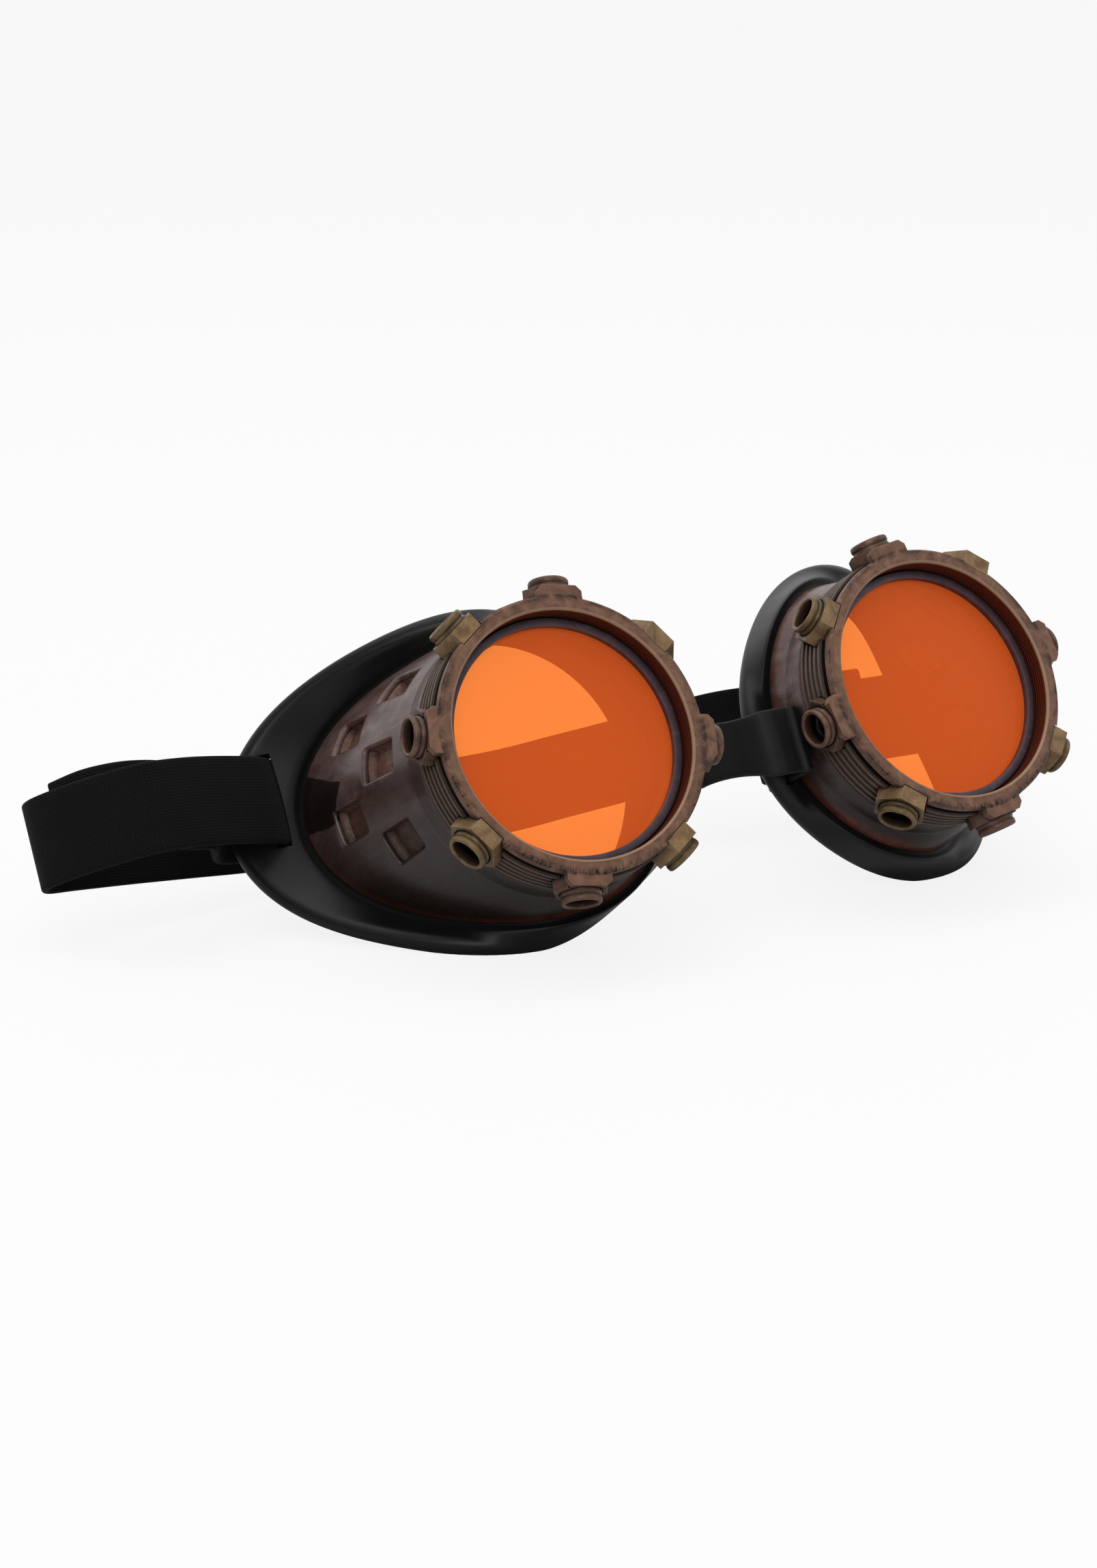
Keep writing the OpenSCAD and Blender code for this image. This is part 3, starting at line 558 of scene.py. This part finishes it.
# Section is a strip with half-round edges; rows carry it along the line, and both ends are capped
def band(name, line, heights, thick, middle, material):
    faceSteps, turnSteps = 12, 6
    flat, face, edge = np.linspace(-1, 1, faceSteps), np.ones(faceSteps), np.ones(turnSteps)
    turn = np.linspace(0, math.pi, turnSteps + 2)[1:-1]
    sideOut = np.concatenate([face, np.cos(turn), -face, -np.cos(turn)]) * thick / 2
    high = np.concatenate([flat, edge, -flat, -edge])
    extra = np.concatenate([face * 0, np.sin(turn), face * 0, -np.sin(turn)]) * thick / 2
    ways = np.gradient(line, axis=0)
    across = np.stack([-ways[:, 1], ways[:, 0]], -1)
    across /= np.linalg.norm(across, axis=1, keepdims=True)
    rows = np.zeros((len(line), len(high), 3))
    rows[:, :, :2] = line[:, None, :2] + across[:, None, :] * sideOut[None, :, None]
    tall = (heights[:, None] / 2 - thick / 2) * high[None, :]
    rows[:, :, 2] = line[:, 2:3] + middle + tall + extra[None, :]
    n, m = rows.shape[:2]
    ring = rows[n // 2]
    length, girth = travelled(line) * mm, travelled(np.vstack([ring, ring[:1]])) * mm
    i, j = np.divmod(np.arange((n - 1) * m), m)
    corners = (0, 0), (0, 1), (1, 1), (1, 0)
    spans = np.stack([np.stack([length[i + a], girth[j + b]], -1) for a, b in corners], 1)
    ends = np.concatenate([np.column_stack([ring[:, 0] * 0 + s, girth[:-1]]) for s in length[[0, -1]]])
    return piece(name, stood(rows), sleeve(rows), material, 50, np.vstack([spans.reshape(-1, 2), ends]))


strapLine = curve(strapRoute, strap["steps"])
strapWeb = band("elastic_webbing", strapLine, np.full(len(strapLine), strap["width"]), strap["thick"],
                strap["height"], webCloth)
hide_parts("head_strap")
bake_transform(strapWeb)
print("head strap laid")

# Rubber bridge: over the pads' rolled edges, forward to a fold beside each shell, and back into its slot
bridge = dict(width=12.2, endWidth=14.5, taper=9.2, thick=1.2, drop=4, steps=10, beadLow=5.2, beadHigh=6.2)
bridgeHalf = [
    (0, 18.5, 0), (4.6, 18.5, 0), (8.5, 17.9, -0.1), (11, 16.2, -0.4), (12.4, 14.3, -0.8),
    (13.1, 13, -1.1), (13.95, 12.45, -1.2), (14.8, 12.95, -1.2), (14.9, 14, -1.2), (14.6, 16.5, -1.2),
    (13.9, 19.2, -1.2), (13.55, 21.8, -1.2), (13.5, 25, -1.2), (13.6, 27.9, -1.2)]
bridgeLine = curve([(-x, y, z) for x, y, z in bridgeHalf[:0:-1]] + bridgeHalf, bridge["steps"])
spread = np.minimum(np.abs(bridgeLine[:, 0]) / bridge["taper"], 1)
bridgeWidths = bridge["width"] + (bridge["endWidth"] - bridge["width"]) * spread**2
bridgeBand = band("bridge_band", bridgeLine, bridgeWidths, bridge["thick"], -bridge["drop"], bridgeRubber)
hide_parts("nose_bridge")
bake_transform(bridgeBand)


# Round piece turned round an upright axis from a profile of radius and height
def turnedUpright(name, profile, centre, material, around=40):
    a = np.linspace(0, math.tau, around, endpoint=False)
    r, h = np.array(profile, float).T
    points = np.stack([centre[0] + r[:, None] * np.cos(a), centre[1] + r[:, None] * np.sin(a),
                       np.repeat(h[:, None], around, 1)], -1)
    return piece(name, stood(points), sleeve(points), material)


for sideName, side in sides.items():
    endMiddle = bridgeHalf[-1][2] - bridge["drop"]
    lowEnd, highEnd = endMiddle - bridge["beadLow"], endMiddle + bridge["beadHigh"]
    bead = turnedUpright(sideName + "_bridge_bead",
                         [(0.6, lowEnd), (1.2, lowEnd + 0.05), (1.6, lowEnd + 0.5), (1.6, highEnd - 0.5),
                          (1.2, highEnd - 0.05), (0.6, highEnd)],
                         (side * bridgeHalf[-1][0], bridgeHalf[-1][1]), bridgeRubber)
    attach(bead, sideName + "_cup")
print("nose bridge strung")

# Reaches of the cup at temple, brow and nose, with sweep and trim for the corners between them
cup = dict(shellRadius=(36.9, 31.6, 29.4, 1, 0.1), shellDepth=(58.5, 26.7, 23.3, 0, 0),
           rollRadius=(49.5, 34.4, 34.8, 0.5, 1.3), rollDepth=(63.2, 32.1, 23, 3.6, 0),
           faceRadius=(35.4, 31.5, 23.9, 1, 0.5), faceDepth=(62.4, 36.8, 27.3, 2.6, 0.9),
           collarFront=11.7, collarRear=17.7, collarRadius=29.1, bulge=0.8, wall=1.8, knee=0.735)
vents = dict(middle=4, step=16.2, length=9.5, width=7, frontDepth=28, rearDepth=41, lap=0.8, sunk=1.3,
             back=0.3, well=1.5, slope=0.6, start=0.3, tilt=0.3, rib=0.07, ribs=5, steps=(49, 33))


# Sum of cosines of one to four turns that passes through the temple, brow and nose values
def reach(name, angle):
    temple, brow, nose, sweep, trim = cup[name]
    a = angle * degree
    return ((temple + 2 * brow + nose) / 4 - trim + ((temple - nose) / 2 - sweep) * np.cos(a)
            + (temple - 2 * brow + nose) / 4 * np.cos(2 * a) + sweep * np.cos(3 * a) + trim * np.cos(4 * a))


# Shell's outside: straight from the collar to the rim, with a half-sine bulge
def shellOutside(angle, depth):
    rim = reach("shellDepth", angle)
    long, longest = rim - cup["collarRear"], cup["shellDepth"][0] - cup["collarRear"]
    t = np.maximum(0, (depth - cup["collarRear"]) / long)
    bulge = cup["bulge"] * np.sin(math.pi * np.minimum(t, 1)) * long / longest
    return cup["collarRadius"] + (reach("shellRadius", angle) - cup["collarRadius"]) * t + bulge


def onCup(angle, radius, depth):
    a = angle * degree
    return np.stack([radius * np.cos(a), radius * np.sin(a), -depth], -1)


# Angle, depth and half width in degrees of each vent; they stand in front and behind in turn
def ventList():
    for i in range(-2, 3):
        angle = vents["middle"] + i * vents["step"]
        depth = vents["frontDepth"] if i % 2 == 0 else vents["rearDepth"]
        half = math.asin(vents["width"] / 2 / float(shellOutside(angle, depth))) / degree
        yield angle, depth, half


# Shell: grid of angle and depth whose lines follow the vents' edges. Behind a knee the depths are squeezed to
# end at the slanted rim, the vents' faces are left out, and the wall is given its thickness inwards
def eyecup(name, side, material):
    lines, keep, beside, inset = [], [], 1.1, 0.9
    for angle, _, half in ventList():
        lines += [angle + edge + step for edge in (-half, half) for step in (-beside, 0, beside)]
    base = np.arange(-180, 180, 3.0)
    near = np.abs(base[:, None] - np.array(lines)[None]).min(1)
    angles = np.sort(np.concatenate([base[near > inset], lines]))
    front, rear, reachOut = vents["frontDepth"], vents["rearDepth"], vents["length"] / 2
    rows = np.array([
        cup["collarFront"], 12.3, 14.5, 17, cup["collarRear"], 18.6, 20.2, 22.2,
        front - reachOut, front - reachOut + inset, 26.6, 29.4, front + reachOut - inset, front + reachOut,
        33.7, 35.3, rear - reachOut, rear - reachOut + inset, 39.6, 42.4, rear + reachOut - inset,
        rear + reachOut, 46.9, 49.4, 52.4, 55.2, 57.2, 58.1, cup["shellDepth"][0]])
    a, d = np.meshgrid(angles, rows, indexing="ij")
    rim = reach("shellDepth", a)
    knee = cup["collarRear"] + (rim - cup["collarRear"]) * cup["knee"]
    depth = np.where(d <= knee, d, knee + (rim - knee) * (d - knee) / np.maximum(rows[-1] - knee, 0.01))
    points = placed(onCup(a, shellOutside(a, depth), depth), side)
    faces = gridFaces(*a.shape, joinRows=True)
    i, j = np.divmod(np.arange(len(faces)), len(rows) - 1)
    midAngle = (angles[i] + angles[(i + 1) % len(angles)]) / 2
    midDepth = (rows[j] + rows[j + 1]) / 2
    for angle, depthAt, half in ventList():
        keep.append(~((np.abs(midAngle - angle) < half) & (np.abs(midDepth - depthAt) < reachOut)))
    kept = faces[np.all(keep, 0)]
    share = np.stack([(depth - cup["collarFront"]) / rim, (rim - depth) / shellLook["mapDepth"]], -1)
    made = piece(name, points, kept, material, 60, share.reshape(-1, 2)[kept].reshape(-1, 2), "Shell")
    wall = made.modifiers.new("wall", "SOLIDIFY")
    wall.thickness, wall.offset, wall.use_even_offset = cup["wall"] * mm, -1, True
    made.data.materials.append(shellInside)
    wall.material_offset = 1
    soft = made.modifiers.new("soft", "SUBSURF")
    soft.levels = soft.render_levels = 1
    return settle(made, 60)


# Vent panels: each laps under the opening's edge and drops into a ribbed well that is deepest at the rear
def louvres(name, side, material):
    points, faces = [], []
    for angle, depth, half in ventList():
        s, t = (np.sin(np.linspace(-math.pi / 2, math.pi / 2, count)) for count in vents["steps"])
        wide, long = vents["width"] / 2 + vents["lap"], vents["length"] / 2 + vents["lap"]
        a, d = np.meshgrid(angle + half * wide / (vents["width"] / 2) * s, depth + long * t, indexing="xy")
        inset = np.minimum((1 - np.abs(s))[None] * wide, (1 - np.abs(t))[:, None] * long)
        drop = np.clip((inset - vents["lap"]) / vents["slope"] + vents["start"], 0, 1)
        drop = drop * drop * (3 - 2 * drop) * (1 - vents["tilt"] + vents["tilt"] * t)[:, None]
        ribs = vents["rib"] * (0.5 - 0.5 * np.cos(vents["ribs"] * math.pi * (s + 1)))
        top = onCup(a, shellOutside(a, d) - vents["sunk"] - drop * (vents["well"] + ribs[None]), d)
        under = onCup(a, shellOutside(a, d) - cup["wall"] - vents["back"] - drop * vents["well"], d)[:, ::-1]
        rows = placed(np.concatenate([top, under], 1), side)
        start = sum(len(p) for p in points)
        faces += [[v + start for v in f] for f in sleeve(rows)]
        points.append(rows.reshape(-1, 3))
    return piece(name, np.vstack(points), faces, material, 60)


# Box in the upright frame, turned round its own upright axis, for cutting a slot
def slotCutter(side, centre, size, turn):
    corners = np.array([[x, y, z] for x in (-1, 1) for y in (-1, 1) for z in (-1, 1)]) * np.array(size) / 2
    c, s = math.cos(turn * degree), math.sin(turn * degree)
    points = np.stack([corners[:, 0] * c - corners[:, 1] * s, corners[:, 0] * s + corners[:, 1] * c,
                       corners[:, 2]], -1) + centre
    points[:, 0] *= side
    faces = [(0, 1, 3, 2), (4, 6, 7, 5), (0, 4, 5, 1), (2, 3, 7, 6), (0, 2, 6, 4), (1, 5, 7, 3)]
    return piece("slotCutter", stood(points), faces, padRubber)


# Pad: at each angle a section of seat, groove, rolled edge and face lip, its corners softened by averaging.
# Offsets are outwards and rearwards: seat and lip from the shell's rim, the others from the face edge
pad = dict(roll=2.6, seatGap=0.3, seatWidth=0.5, lip=(1.8, -0.6), back=(0.3, 0.8), inner=(-0.5, 0.3),
           front=(-0.4, -0.8), around=288, rollSteps=22, seatSteps=[5, 6, 6], faceSteps=[8, 3, 3, 10])
padSlots = dict(
    strap=dict(centre=(84.55, 60.45, strap["height"]), size=(18, 2.7, 20.2), turn=136),
    bridge=dict(centre=(13.5, 24.5, -5.3), size=(2.4, 12, 15.6), turn=0))


def facePad(name, side, material):
    angle = np.arange(pad["around"]) * 360 / pad["around"]
    rim, roll, face = (np.stack([reach(key + "Radius", angle), reach(key + "Depth", angle)], -1)
                       for key in ("shell", "roll", "face"))
    lip, back = rim + pad["lip"], face + pad["back"]

    def tangent(point, sign):
        way = point - roll
        return np.arctan2(way[:, 1], way[:, 0]) + sign * np.arccos(pad["roll"] / np.linalg.norm(way, axis=1))

    start, stop = tangent(lip, 1), tangent(back, -1)
    stop = np.where(stop < start, stop + math.tau, stop)
    corners = [rim + (-cup["wall"], pad["seatGap"]), rim + (pad["seatWidth"], pad["seatGap"]), lip]
    for k in range(pad["rollSteps"] + 1):
        turn = start + (stop - start) * k / pad["rollSteps"]
        corners.append(roll + pad["roll"] * np.stack([np.cos(turn), np.sin(turn)], -1))
    corners += [back, face + pad["inner"], face + pad["front"]]
    counts = pad["seatSteps"] + [1] * pad["rollSteps"] + pad["faceSteps"]
    parts = [a[:, None] + (b - a)[:, None] * (np.arange(count) / count)[None, :, None]
             for a, b, count in zip(corners, corners[1:] + corners[:1], counts)]
    section = np.concatenate(parts, 1)
    section = (np.roll(section, 1, 1) + 2 * section + np.roll(section, -1, 1)) / 4
    points = placed(onCup(angle[:, None], section[..., 0], section[..., 1]), side)
    points[..., 2] = np.maximum(points[..., 2], 0)
    made = piece(name, points, gridFaces(*section.shape[:2], joinRows=True, joinColumns=True), material, 50)
    for slot in padSlots.values():
        cutter = slotCutter(side, **slot)
        cut = made.modifiers.new("slot", "BOOLEAN")
        cut.operation, cut.solver, cut.object = "DIFFERENCE", "EXACT", cutter
        settle(made, 50)
        bpy.data.objects.remove(cutter)
    return made


# Studs: a profile of radius and height, hollow or low and solid, turned round a spoke of the ring at each nut
studProfile = [
    (0, 28.3), (3.9, 28.3), (4.2, 28.6), (4.2, 31.7), (4.12, 31.95), (3.98, 32.1), (3.95, 32.3),
    (4.05, 32.5), (4.15, 32.68), (4.15, 33.35), (4.06, 33.6), (3.88, 33.76), (3.65, 33.8), (3.42, 33.74),
    (3.26, 33.55), (3.2, 33.25), (3.2, 32.9), (3.13, 32.72), (3.2, 32.54), (3.2, 32.1), (3.13, 31.92),
    (3.2, 31.74), (3.2, 30.5), (3, 30.2), (2.4, 30.06), (0, 30)]
lowProfile = [
    (0, 28.3), (3.9, 28.3), (4.2, 28.6), (4.2, 31.6), (4.1, 31.85), (3.6, 32.15), (2.6, 32.4),
    (1.3, 32.55), (0, 32.6)]


def studs(name, side, angles, lowAngles, material):
    phi = np.linspace(0, math.tau, nuts["studSteps"], endpoint=False)
    points, faces, start = [], [], 0
    for angle in angles:
        r, h = np.array(lowProfile if angle in lowAngles else studProfile, float).T
        r = np.maximum(r, nuts["tip"])
        a = angle * degree
        spoke, beside = np.array([math.cos(a), math.sin(a), 0]), np.array([-math.sin(a), math.cos(a), 0])
        rows = (h[:, None, None] * spoke + (r[:, None] * np.cos(phi))[..., None] * beside
                + (r[:, None] * np.sin(phi))[..., None] * (0, 0, 1) - (0, 0, nuts["depth"]))
        faces += [[v + start for v in f] for f in sleeve(rows)]
        points.append(placed(rows, side).reshape(-1, 3))
        start += len(points[-1])
    return piece(name, np.vstack(points), faces, material, 55)


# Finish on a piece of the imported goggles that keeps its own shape
def dress(nodeName, material):
    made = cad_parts[nodeName]
    made.data.materials.clear()
    made.data.materials.append(material)


for sideName, side in sides.items():
    body = sideName + "_cup"
    dress(sideName + "_bezel_ring", paint("bronze", side))
    dress(sideName + "_bronze_nuts", paint("bronzeNut", side))
    dress(sideName + "_brass_nuts", paint("brass", side))
    dress(sideName + "_lens", lensAmber)
    dress(sideName + "_lens_retainer", paint("retainer", side))
    dress(sideName + "_lens_gasket", gasketRubber)
    shell = eyecup(sideName + "_shell_wall", side, shellPaint(side))
    panels = louvres(sideName + "_vent_panels", side, louvrePaint(side))
    cushion = facePad(sideName + "_pad_roll", side, padRubber)
    bronzeAngles, brassAngles = (range(start, 360, 2 * nuts["spacing"]) for start in (0, nuts["spacing"]))
    bronzeStuds = studs(sideName + "_bronze_stud_tubes", side, bronzeAngles, (), paint("stud", side))
    brassStuds = studs(sideName + "_brass_stud_tubes", side, brassAngles, (lowStud[side],),
                       paint("brassStud", side))
    newPieces = ((shell, "_eyecup_shell", "shell_brown"), (panels, "_vent_louvres", "louvre_brown"),
                 (cushion, "_face_pad", "black_rubber"), (bronzeStuds, "_bronze_studs", "bronze_paint"),
                 (brassStuds, "_brass_studs", "brass_paint"))
    for made, nodeName, slotName in newPieces:
        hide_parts(sideName + nodeName)
        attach(made, body)
    print(sideName, "cup dressed")
dress("strap_slider", sliderPlastic)


# Rays from the camera, also those that pass the amber sheets, and mirrored rays
def watching(tree):
    rays = tree.nodes.new("ShaderNodeLightPath").outputs
    return larger(tree, rays["Is Camera Ray"], rays["Is Transmission Ray"]), rays["Is Glossy Ray"]


# White surroundings: behind the goggles a white backdrop, and over them light that fades towards the horizon
room = dict(horizon=0.18, zenith=0.8, backdrop=(0.15, 0.7))
world = bpy.data.worlds.new("whiteRoom")
scene.world = world
world.use_nodes = True
sky = world.node_tree
way = node(sky, "TexCoord", out=0)
height = ramp(sky, pick(sky, way, 2), 0, 1)
shade = sum2(sky, times(sky, height, room["zenith"] - room["horizon"]), room["horizon"])
direct, mirrored = watching(sky)
seen = larger(sky, direct, times(sky, ramp(sky, pick(sky, way, 1), *room["backdrop"]), mirrored))
apply(sky, sky.nodes["Background"], Color=(1, 1, 1, 1), Strength=node(sky, "Mix", {0: seen, 2: shade, 3: 1}))

# Pale table: to the camera mostly plain white, so that it meets the backdrop and still shows a shadow
table = dict(half=9, pale=(0.9, 0.9, 0.9, 1), dull=(0.42, 0.42, 0.42, 1), rough=0.6, white=0.85)
tableTop, wood, shader = finish("paleTable", Roughness=table["rough"])
direct, mirrored = watching(wood)
apply(wood, shader, Base_Color=blendTone(wood, larger(wood, direct, mirrored), table["dull"], table["pale"]))
plain = node(wood, "Emission", {"Color": (1, 1, 1, 1), "Strength": 1})
cover = node(wood, "MixShader", {0: times(wood, direct, table["white"]), 1: shader.outputs[0], 2: plain})
wood.links.new(cover, wood.nodes["Material Output"].inputs["Surface"])
half = table["half"]
floor = piece("table_top", [(-half, -half, 0), (half, -half, 0), (half, half, 0), (-half, half, 0)],
              [(0, 1, 2, 3)], tableTop)

# Softboxes that all point at the middle of the goggles
lampAim = Vector((0.02, 0, 0.04))
lamps = dict(
    above=dict(place=(-0.1, 0.2, 1.0), size=(1.0, 0.8), watts=2.8),
    front=dict(place=(-0.7, -1.1, 0.9), size=(0.7, 0.7), watts=5.5),
    right=dict(place=(1.1, -0.5, 0.7), size=(0.6, 0.8), watts=1.6))
for lampName, look in lamps.items():
    lamp = bpy.data.lights.new(lampName + "Softbox", "AREA")
    lamp.shape, lamp.energy = "RECTANGLE", look["watts"]
    lamp.size, lamp.size_y = look["size"]
    lampObject = bpy.data.objects.new(lampName + "Softbox", lamp)
    scene.collection.objects.link(lampObject)
    place = Vector(look["place"])
    turn = (lampAim - place).to_track_quat("-Z", "Y")
    lampObject.matrix_world = Matrix.LocRotScale(place, turn, None)
scene.view_settings.view_transform = "Standard"
print("lamps lit")
